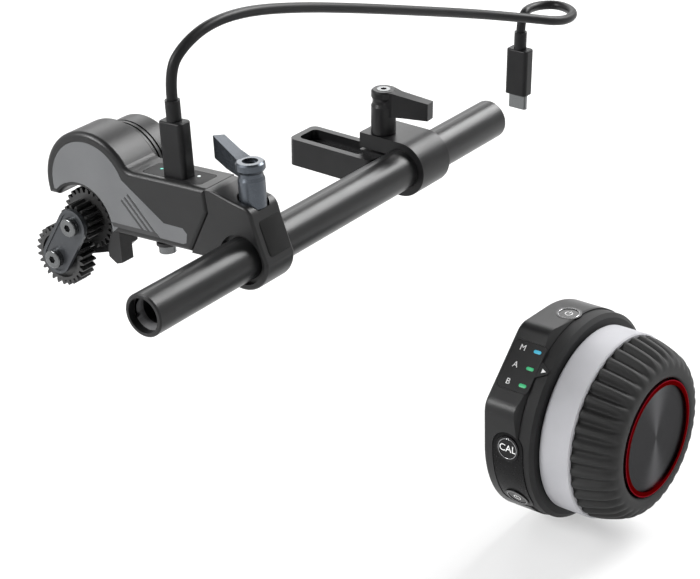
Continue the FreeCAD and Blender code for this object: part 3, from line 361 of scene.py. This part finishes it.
def lineLength(curve):                         # of the bare line, without its thickness
    bare = curve.copy()
    bare.bevel_depth = 0
    probe = bpy.data.objects.new("probe", bare)
    bpy.context.scene.collection.objects.link(probe)
    bpy.context.view_layer.update()
    mesh = bpy.data.meshes.new_from_object(probe)
    bpy.data.objects.remove(probe)
    places = [v.co for v in mesh.vertices]
    return sum((places[e.vertices[0]] - places[e.vertices[1]]).length for e in mesh.edges)


def makeCable():
    x, y, z = cable["start"]
    start = fromMotor(x, y, z)
    above = fromMotor(x, y, z + cable["rise"])
    route = [start, above] + [fromRod(*point) for point in cable["middle"] + [cable["end"]]]
    curve = bpy.data.curves.new("cableLine", "CURVE")
    curve.dimensions = "3D"
    curve.bevel_depth = cable["diameter"] / 2 * mm
    curve.bevel_resolution = cable["roundSteps"]
    curve.resolution_u = cable["lineSteps"]
    curve.use_fill_caps = True
    spline = curve.splines.new("NURBS")
    spline.points.add(len(route) - 1)
    for point, place in zip(spline.points, route):
        point.co = (*place, 1.0)
    spline.order_u = 3
    spline.use_endpoint_u = True
    curve.materials.append(finishes["cable"])
    line = bpy.data.objects.new("cableLine", curve)
    bpy.context.scene.collection.objects.link(line)
    length = round(lineLength(curve), 4)
    print("cable length", length)
    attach(line, "motor")
    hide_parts("cable")


makeCable()
print("cable laid")


# modelling helpers: every piece is made in millimetres and then set into its frame
def deselect():
    bpy.ops.object.select_all(action="DESELECT")


def named(name):                               # takes up what an operator has just added
    piece = bpy.context.object
    piece.name = name
    bpy.ops.object.transform_apply(location=True, rotation=True, scale=True)
    return piece


def toEdit(piece):
    bpy.context.view_layer.objects.active = piece
    bpy.ops.object.mode_set(mode="EDIT")


def toObject():
    bpy.ops.object.mode_set(mode="OBJECT")


def pick(piece, kind, test):
    bpy.ops.mesh.select_mode(type=kind)
    bpy.ops.mesh.select_all(action="DESELECT")
    mesh = bmesh.from_edit_mesh(piece.data)
    items = {"VERT": mesh.verts, "EDGE": mesh.edges, "FACE": mesh.faces}[kind]
    for item in items:
        if test(item):
            item.select_set(True)
    mesh.select_flush_mode()
    bmesh.update_edit_mesh(piece.data)


def addBlock(name, size, place):
    deselect()
    bpy.ops.mesh.primitive_cube_add(size=1, location=place, scale=size)
    return named(name)


def addDrum(name, radius, depth, place, sides):
    deselect()
    bpy.ops.mesh.primitive_cylinder_add(vertices=sides, radius=radius, depth=depth, location=place)
    return named(name)


def addHoop(name, radius, thick, place, segments, sides):
    deselect()
    bpy.ops.mesh.primitive_torus_add(major_segments=segments, minor_segments=sides, major_radius=radius,
                                     minor_radius=thick, location=place)
    return named(name)


def addWord(name, word, size, place, thick):
    deselect()
    bpy.ops.object.text_add(location=place)
    text = bpy.context.object.data
    text.body = word
    text.size = size
    text.align_x = "CENTER"
    text.align_y = "CENTER"
    text.extrude = thick / 2
    text.resolution_u = 4
    bpy.ops.object.convert(target="MESH")
    return named(name)


def addOutline(name, corners, yLow, yHigh):    # a plate with these corners in x and z, from yLow to yHigh
    deselect()
    bpy.ops.mesh.primitive_circle_add(vertices=len(corners), radius=1, fill_type="NGON")
    piece = named(name)
    toEdit(piece)
    places = [v.co.copy() for v in bmesh.from_edit_mesh(piece.data).verts]
    for index, (x, z) in enumerate(corners):
        pick(piece, "VERT", lambda v: v.index == index)
        bpy.ops.transform.translate(value=Vector((x, yLow, z)) - places[index])
    bpy.ops.mesh.select_all(action="SELECT")
    bpy.ops.mesh.extrude_region_move(TRANSFORM_OT_translate={"value": (0, yHigh - yLow, 0)})
    bpy.ops.mesh.select_all(action="SELECT")
    bpy.ops.mesh.normals_make_consistent(inside=False)
    toObject()
    return piece


def turnBy(piece, angle, axis, centre=(0, 0, 0)):
    toEdit(piece)
    bpy.ops.mesh.select_all(action="SELECT")
    bpy.ops.transform.rotate(value=-math.radians(angle), orient_axis=axis, center_override=centre)
    toObject()


def moveBy(piece, shift):
    toEdit(piece)
    bpy.ops.mesh.select_all(action="SELECT")
    bpy.ops.transform.translate(value=shift)
    toObject()


def drumAlongY(name, radius, yLow, yHigh, sides):
    drum = addDrum(name, radius, yHigh - yLow, (0, 0, 0), sides)
    turnBy(drum, 90, "X")
    moveBy(drum, (0, (yLow + yHigh) / 2, 0))
    return drum


def edgeAlong(axis):
    def test(edge):
        run = edge.verts[0].co - edge.verts[1].co
        return run.length > 0 and abs(run.normalized()[axis]) > 0.99
    return test


def bevelEdges(piece, test, width, segments):
    toEdit(piece)
    pick(piece, "EDGE", test)
    bpy.ops.mesh.bevel(offset=width, segments=segments, affect="EDGES", clamp_overlap=True)
    toObject()


def finishWith(piece, kind, **settings):       # puts a modifier on a piece and applies it
    modifier = piece.modifiers.new("finishing", kind)
    for key, value in settings.items():
        setattr(modifier, key, value)
    deselect()
    bpy.context.view_layer.objects.active = piece
    bpy.ops.object.modifier_apply(modifier=modifier.name)


def softenEdges(piece, width, segments=2):
    finishWith(piece, "BEVEL", width=width, segments=segments, limit_method="ANGLE")


def carve(piece, tool):
    finishWith(piece, "BOOLEAN", operation="DIFFERENCE", solver="EXACT", object=tool)
    bpy.data.objects.remove(tool)


def settle(piece, place, body, finish, smooth=35):
    deselect()
    bpy.context.view_layer.objects.active = piece
    piece.select_set(True)
    piece.matrix_world = place
    bpy.ops.object.transform_apply(location=True, rotation=True, scale=True)
    bpy.ops.object.shade_smooth_by_angle(angle=math.radians(smooth))
    piece.data.materials.clear()
    piece.data.materials.append(finishes[finish])
    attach(piece, body)


# the fluted rubber grip, drawn again with soft ribs that fade out on its front shoulder
grip = {
    "ribs": 38, "steps": 6,                    # steps round the wheel for each rib
    "sinks": {2: 0.62, 3: 1.0},                # share of the groove's depth at a step and its mirror
    "startRadius": 30, "startThick": 4,        # of the hoop that it is shaped from
    # distance along the axle, radius and groove depth, round the closed section
    "section": [(2.5, 29.4, 0), (2.5, 33.9, 0), (12.95, 33.9, 0), (13.0, 35.0, 2.0),
                (13.7, 35.3, 2.4), (17.5, 34.4, 2.4), (21.0, 33.3, 2.3), (23.9, 32.3, 2.2),
                (25.7, 31.2, 1.75), (27.3, 29.6, 1.1), (28.2, 28.0, 0.45), (28.44, 26.6, 0.1),
                (28.48, 25.2, 0), (28.48, 22.65, 0), (24.65, 22.65, 0), (24.65, 29.4, 0)],
}


def makeGrip():
    count = len(grip["section"])
    steps = grip["steps"]
    piece = addHoop("wheelGrip", grip["startRadius"], grip["startThick"], (0, 0, 0), grip["ribs"] * steps,
                    count)
    toEdit(piece)
    firstLoop = [v.co.copy() for v in bmesh.from_edit_mesh(piece.data).verts][:count]
    for index, (along, radius, depth) in enumerate(grip["section"]):
        start = firstLoop[index]
        pick(piece, "VERT", lambda v: v.index % count == index)
        scale = radius / math.hypot(start.x, start.y)
        bpy.ops.transform.resize(value=(scale, scale, 1), center_override=(0, 0, 0))
        bpy.ops.transform.translate(value=(0, 0, along - start.z))
        if depth == 0:
            continue
        for step, sink in grip["sinks"].items():
            pick(piece, "VERT", lambda v: v.index % count == index
                 and (v.index // count) % steps in (step, steps - step))
            narrow = (radius - depth * sink) / radius
            bpy.ops.transform.resize(value=(narrow, narrow, 1), center_override=(0, 0, 0))
    bpy.ops.mesh.select_all(action="SELECT")
    bpy.ops.mesh.normals_make_consistent(inside=False)
    toObject()
    turnBy(piece, 90, "Y")
    finishWith(piece, "SUBSURF", levels=1)
    settle(piece, handFrame, "wheel", "grip", 60)
    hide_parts("wheel_grip")


# the rod clamp, drawn again with rounded edges and a recess round the rod
clamp = {
    "front": 49.0, "back": 64.0, "radius": 11.0, "arcFrom": 210.3, "arcSteps": 26,
    "corners": [(11.0, 0.0), (6.87, 12.25), (5.2, 18.6), (-2.7, 20.4), (-9.5, 22.4), (-13.3, 22.4),
                (-12.5, 14.3), (-21.45, -1.85), (-9.5, -1.85)],
    "shoulder": (5.2, 18.6), "sides": [(6.87, 12.25), (-2.7, 20.4)],
    # radius and steps of each rounded edge
    "shoulderRound": (2.6, 6), "sideRound": (1.0, 3), "frontRound": (1.25, 5), "backRound": (1.0, 4),
    "joinLeft": -12.4, "joinLow": -1.84, "joinRight": -9.4,      # where its rims run on into the housing
    "bore": 7.55, "recess": 8.9, "recessDeep": 1.8, "past": 1.0, "boreSides": 96, "near": 0.01,
    "lever": (1.1, 56.5), "leverHole": 5.3, "leverFloor": 16.9, "leverHoleDeep": 12, "leverSides": 64,
}


def makeClamp():
    front, back, past = clamp["front"], clamp["back"], clamp["past"]
    near, sides = clamp["near"], clamp["boreSides"]
    arc = []
    for step in range(clamp["arcSteps"]):
        angle = math.radians(clamp["arcFrom"] + (360 - clamp["arcFrom"]) * step / clamp["arcSteps"])
        arc.append((clamp["radius"] * math.cos(angle), clamp["radius"] * math.sin(angle)))
    body = addOutline("clampShell", clamp["corners"] + arc, front, back)
    along = edgeAlong(1)

    def startsAt(edge, x, z):
        start = edge.verts[0].co
        return abs(start.x - x) < near and abs(start.z - z) < near

    def onFreeRim(edge, y):
        onFace = all(abs(v.co.y - y) < near for v in edge.verts)
        left = min(v.co.x for v in edge.verts)
        right = max(v.co.x for v in edge.verts)
        high = max(v.co.z for v in edge.verts)
        joined = left < clamp["joinLeft"] or (high < clamp["joinLow"] and right < clamp["joinRight"])
        return onFace and not joined

    bevelEdges(body, lambda e: along(e) and startsAt(e, *clamp["shoulder"]), *clamp["shoulderRound"])
    bevelEdges(body, lambda e: along(e) and any(startsAt(e, *side) for side in clamp["sides"]),
               *clamp["sideRound"])
    bevelEdges(body, lambda e: onFreeRim(e, front), *clamp["frontRound"])
    bevelEdges(body, lambda e: onFreeRim(e, back), *clamp["backRound"])
    carve(body, drumAlongY("bore", clamp["bore"], front - past, back + past, sides))
    carve(body, drumAlongY("recess", clamp["recess"], front - past, front + clamp["recessDeep"], sides))
    hole = (*clamp["lever"], clamp["leverFloor"] + clamp["leverHoleDeep"] / 2)
    carve(body, addDrum("leverHole", clamp["leverHole"], clamp["leverHoleDeep"], hole, clamp["leverSides"]))
    settle(body, motorFrame, "motor", "housing")
    finishWith(body, "WEIGHTED_NORMAL", keep_sharp=True)
    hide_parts("rod_clamp")


# dark pad let into the clamp's outer side
sidePad = {
    "place": (8.40, 57.5, 7.85), "size": (0.3, 11.0, 12.8), "tilt": 18.4,
    "round": (1.4, 5), "edge": 0.08,           # radius and steps of its corners, and its edges' bevel
}


def makeSidePad():
    pad = addBlock("sidePad", sidePad["size"], sidePad["place"])
    bevelEdges(pad, edgeAlong(0), *sidePad["round"])
    softenEdges(pad, sidePad["edge"])
    turnBy(pad, -sidePad["tilt"], "Y", sidePad["place"])
    settle(pad, motorFrame, "motor", "padBlack")


# the lead-in ahead of the thread in each end of the rod, in light grey: a painted highlight that stands in
# for its lit step face
boreStep = {
    "outer": 5.97, "inner": 5.1, "front": 2.8, "back": 6.1, "past": 2.0, "sides": 72,
    "coneOuter": 5.93, "coneInner": 5.09, "coneEnd": 4.5,
    "rodMiddle": 101.0,                        # the second is the first turned about it
}


def makeBoreSteps():
    front, back, past, sides = boreStep["front"], boreStep["back"], boreStep["past"], boreStep["sides"]
    deep = boreStep["coneEnd"] - front
    for index in range(2):
        ring = drumAlongY("boreStep%d" % (index + 1), boreStep["outer"], front, back, sides)
        carve(ring, drumAlongY("stepHole", boreStep["inner"], front - past, back + past, sides))
        deselect()
        bpy.ops.mesh.primitive_cone_add(vertices=sides, radius1=boreStep["coneOuter"],
                                        radius2=boreStep["coneInner"], depth=deep, location=(0, 0, 0))
        cone = named("leadIn")
        turnBy(cone, -90, "X")
        moveBy(cone, (0, front + deep / 2, 0))
        carve(ring, cone)
        if index:
            turnBy(ring, 180, "Z", (0, boreStep["rodMiddle"], 0))
        settle(ring, rodFrame, "rod", "step")


# marks on the grey inlay: three slanting stripes that run into a band along its lower edge
inlayMarks = {
    "face": 48.97, "thick": 0.10, "slope": 47.2, "stripeWide": 0.78,
    "starts": [(-51.6, 11.4), (-50.05, 12.7), (-48.6, 14.0)], "lengths": [13.6, 15.4, 18.6],
    "bandLow": 0.72, "bandHigh": 2.15, "bandLeft": -57.3, "bandRight": -35.4,
    "overlap": 0.1, "near": 0.1, "rightSlant": -1.35, "leftSlant": 0.7,
}


def makeInlayMarks():
    marks = inlayMarks
    face, thick, near = marks["face"], marks["thick"], marks["near"]
    for index, (x, z) in enumerate(marks["starts"]):
        length = marks["lengths"][index]
        bar = addBlock("inlayStripe%d" % (index + 1), (length, thick, marks["stripeWide"]),
                       (x + length / 2, face, z))
        turnBy(bar, marks["slope"], "Y", (x, face, z))
        toEdit(bar)
        bpy.ops.mesh.select_all(action="SELECT")
        bpy.ops.mesh.bisect(plane_co=(0, 0, marks["bandHigh"] - marks["overlap"]), plane_no=(0, 0, -1),
                            use_fill=True, clear_outer=True)
        toObject()
        settle(bar, motorFrame, "motor", "stripe")
    long = marks["bandRight"] - marks["bandLeft"]
    band = addBlock("inlayBand", (long, thick, marks["bandHigh"] - marks["bandLow"]),
                    (marks["bandLeft"] + long / 2, face, (marks["bandLow"] + marks["bandHigh"]) / 2))
    toEdit(band)
    pick(band, "VERT", lambda v: v.co.z > marks["bandHigh"] - near and v.co.x > marks["bandRight"] - near)
    bpy.ops.transform.translate(value=(marks["rightSlant"], 0, 0))
    pick(band, "VERT", lambda v: v.co.z < marks["bandLow"] + near and v.co.x < marks["bandLeft"] + near)
    bpy.ops.transform.translate(value=(marks["leftSlant"], 0, 0))
    toObject()
    settle(band, motorFrame, "motor", "stripe")


# two small lights on the motor's top panel
panelLights = {
    "radius": 0.62, "thick": 0.5, "sides": 24, "edge": (0.12, 3), "middle": 22.25,
    "places": {"teal": (-39.0, 57.3), "white": (-23.0, 57.9)},
}


def makePanelLights():
    for colour, (x, y) in panelLights["places"].items():
        dot = addDrum(colour + "Light", panelLights["radius"], panelLights["thick"],
                      (x, y, panelLights["middle"]), panelLights["sides"])
        softenEdges(dot, *panelLights["edge"])
        settle(dot, motorFrame, "motor", colour + "Light")


# light panel of the hand unit: letters and bars in three rows, on the body's flat
lightRows = {
    "angle": 45, "flat": 40.59, "rows": (7.78, 0.99, -5.73), "letters": "MAB",
    "letterX": -15.4, "letterSize": 3.25, "letterLift": 0.02, "letterThick": 0.06,
    "barX": -9.1, "barLong": 3.1, "barWide": 1.3, "barThick": 0.3, "barSink": 0.05,
    "barRound": (0.624, 6), "barEdge": 0.06, "colours": ("blueLight", "greenLight", "greenLight"),
}


def makeLightRows():
    rows = lightRows
    flatFrame = handFrame @ Matrix.Rotation(math.radians(rows["angle"]), 4, "X")
    for index, along in enumerate(rows["rows"]):
        letter = rows["letters"][index]
        word = addWord("rowLetter" + letter, letter, rows["letterSize"],
                       (rows["letterX"], along, rows["flat"] + rows["letterLift"]), rows["letterThick"])
        settle(word, flatFrame, "bracket", "white")
        bar = addBlock("rowLight%d" % (index + 1), (rows["barLong"], rows["barWide"], rows["barThick"]),
                       (rows["barX"], along, rows["flat"] - rows["barSink"]))
        bevelEdges(bar, edgeAlong(2), *rows["barRound"])
        softenEdges(bar, rows["barEdge"])
        settle(bar, flatFrame, "bracket", rows["colours"][index])


# white pointer on the little nose beside the marking ring
pointer = {
    "angle": 132.6, "place": (-3.75, 0, 40.66),
    "radius": 1.15, "thick": 0.08, "sides": 3, "stretch": (1.05, 0.85, 1.0),
}


def makePointer():
    arrow = addDrum("pointer", pointer["radius"], pointer["thick"], pointer["place"], pointer["sides"])
    turnBy(arrow, -90, "Z", pointer["place"])
    toEdit(arrow)
    bpy.ops.mesh.select_all(action="SELECT")
    bpy.ops.transform.resize(value=pointer["stretch"], center_override=pointer["place"])
    toObject()
    settle(arrow, aroundWheel(pointer["angle"]), "bracket", "white")


# the three buttons, each with its angle round the wheel's axle, its shift along Y and the word on it, where
# no word stands for a power sign
buttons = {
    "x": -10.4, "out": 40.4,
    "places": {"top": (90, -0.7, ""), "middle": (177.6, 0, "CAL"), "lower": (213.3, 0, "")},
    "ringRadius": 3.95, "ringThick": 0.14, "ringSteps": (64, 12), "ringSkirt": 0.5,
    "wordSize": 3.9, "wordThick": 0.08, "wordSink": 0.07,
    "signRadius": 1.35, "signThick": 0.16, "signSteps": (48, 8),
    "signGap": 0.45, "signFlat": 0.4, "signSink": 0.1,
    "barSize": (0.32, 1.5, 0.1), "barShift": 1.0, "barSink": 0.08, "barEdge": 0.03,
}


def addButtonRing(name, place):
    ring = addHoop(name, buttons["ringRadius"], buttons["ringThick"], place, *buttons["ringSteps"])
    toEdit(ring)
    pick(ring, "VERT", lambda v: v.co.z < place[2])
    bpy.ops.transform.translate(value=(0, 0, -buttons["ringSkirt"]))
    toObject()
    return ring


def addOpenHoop(name, x, y, z):                # the ring of a power sign, cut open and closed at its ends
    sign = addHoop(name, buttons["signRadius"], buttons["signThick"], (x, y, z), *buttons["signSteps"])
    toEdit(sign)
    pick(sign, "FACE", lambda f: abs(f.calc_center_median().x - x) < buttons["signGap"]
         and f.calc_center_median().y > y)
    bpy.ops.mesh.delete(type="FACE")
    pick(sign, "EDGE", lambda e: e.is_boundary)
    bpy.ops.mesh.edge_face_add()
    pick(sign, "VERT", lambda v: True)
    bpy.ops.transform.resize(value=(1, 1, buttons["signFlat"]), center_override=(x, y, z))
    toObject()
    return sign


def makeButtonSigns():
    x, out = buttons["x"], buttons["out"]
    for name, (angle, y, word) in buttons["places"].items():
        frameOf = aroundWheel(angle)
        ring = addButtonRing(name + "ButtonRing", (x, y, out))
        settle(ring, frameOf, "bracket", "chrome")
        if word:
            sign = addWord(name + "Sign", word, buttons["wordSize"], (x, y, out - buttons["wordSink"]),
                           buttons["wordThick"])
        else:
            sign = addOpenHoop(name + "Sign", x, y, out - buttons["signSink"])
            bar = addBlock(name + "SignBar", buttons["barSize"],
                           (x, y + buttons["barShift"], out - buttons["barSink"]))
            softenEdges(bar, buttons["barEdge"])
            settle(bar, frameOf, name + "_button", "white")
        settle(sign, frameOf, name + "_button", "white")


makeGrip()
print("grip made")
makeClamp()
makeSidePad()
makeBoreSteps()
print("clamp, pad and bore steps made")
makeInlayMarks()
makePanelLights()
makeLightRows()
makePointer()
makeButtonSigns()
print("marks, lights and signs made")

# the stage: a sheet that is white to the eye and in reflections and matt to the light, and less white near
# the object, where its shadow falls
stageSet = {
    "floorZ": -126.5,                          # millimetres in the part's frame, just below the hand unit
    "floorSize": 8.0, "wallHigh": 3.0,         # metres
    "wallSides": 96,
    "paint": (0.88, 0.88, 0.88), "rough": 0.85, "nearShare": 0.45, "nearTo": 0.6, "farFrom": 1.8,
    "sky": 0.20,
}
lamps = {
    "key": {"place": (-0.80, -1.20, 0.80), "size": (0.55, 0.5), "power": 24},
    "back": {"place": (0.34, 1.15, 1.06), "size": (1.05, 0.62), "power": 36},
    "left": {"place": (-0.85, 1.10, 0.78), "size": (0.8, 0.7), "power": 5.5},
    "top": {"place": (-0.80, -0.75, 1.20), "size": (1.0, 1.0), "power": 9},
}


def paleStage(name, nearShare):
    finish = Finish(name)
    finish.set(Base_Color=stageSet["paint"], Roughness=stageSet["rough"])
    seen = finish.node("ShaderNodeLightPath", out="Is Camera Ray")
    for kind in ("Is Glossy Ray", "Is Transmission Ray"):
        seen = seen.math("MAXIMUM", finish.node("ShaderNodeLightPath", out=kind))
    distance = finish.node("ShaderNodeVectorMath", {"operation": "LENGTH"}, {0: finish.place()}, "Value")
    share = finish.spread(distance, stageSet["nearTo"], stageSet["farFrom"], nearShare, 1.0)
    white = finish.node("ShaderNodeEmission", None, {"Color": (1, 1, 1), "Strength": 1.0})
    matt = Wire(finish, finish.shader.outputs[0])
    finish.feed(finish.output.inputs[0],
                finish.node("ShaderNodeMixShader", None, {0: seen * share, 1: matt, 2: white}))
    return finish.material


def makeStage():
    low = stageSet["floorZ"] * mm
    high = stageSet["wallHigh"]
    deselect()
    bpy.ops.mesh.primitive_plane_add(size=stageSet["floorSize"], location=(0, 0, low))
    floor = bpy.context.object
    floor.name = "floor"
    floor.data.materials.append(paleStage("pale floor", stageSet["nearShare"]))
    bpy.ops.mesh.primitive_cylinder_add(vertices=stageSet["wallSides"], radius=stageSet["floorSize"] / 2,
                                        depth=high, end_fill_type="NOTHING",
                                        location=(0, 0, low + high / 2))
    wall = bpy.context.object
    wall.name = "backdrop"
    wall.data.materials.append(paleStage("pale backdrop", 1.0))


def makeSky():
    world = bpy.data.worlds.new("studio")
    bpy.context.scene.world = world
    world.use_nodes = True
    light = world.node_tree.nodes["Background"]
    light.inputs["Color"].default_value = (1, 1, 1, 1)
    light.inputs["Strength"].default_value = stageSet["sky"]


def makeLamp(name, place, size, power):        # every lamp looks at the origin
    data = bpy.data.lights.new(name, "AREA")
    data.shape = "RECTANGLE"
    data.size, data.size_y = size
    data.energy = power
    lamp = bpy.data.objects.new(name, data)
    bpy.context.scene.collection.objects.link(lamp)
    lamp.location = place
    lamp.rotation_mode = "QUATERNION"
    lamp.rotation_quaternion = (-Vector(place)).to_track_quat("-Z", "Y")


makeStage()
makeSky()
for name, lamp in lamps.items():
    makeLamp(name, **lamp)
bpy.context.scene.view_settings.view_transform = "Standard"
print("stage lit")
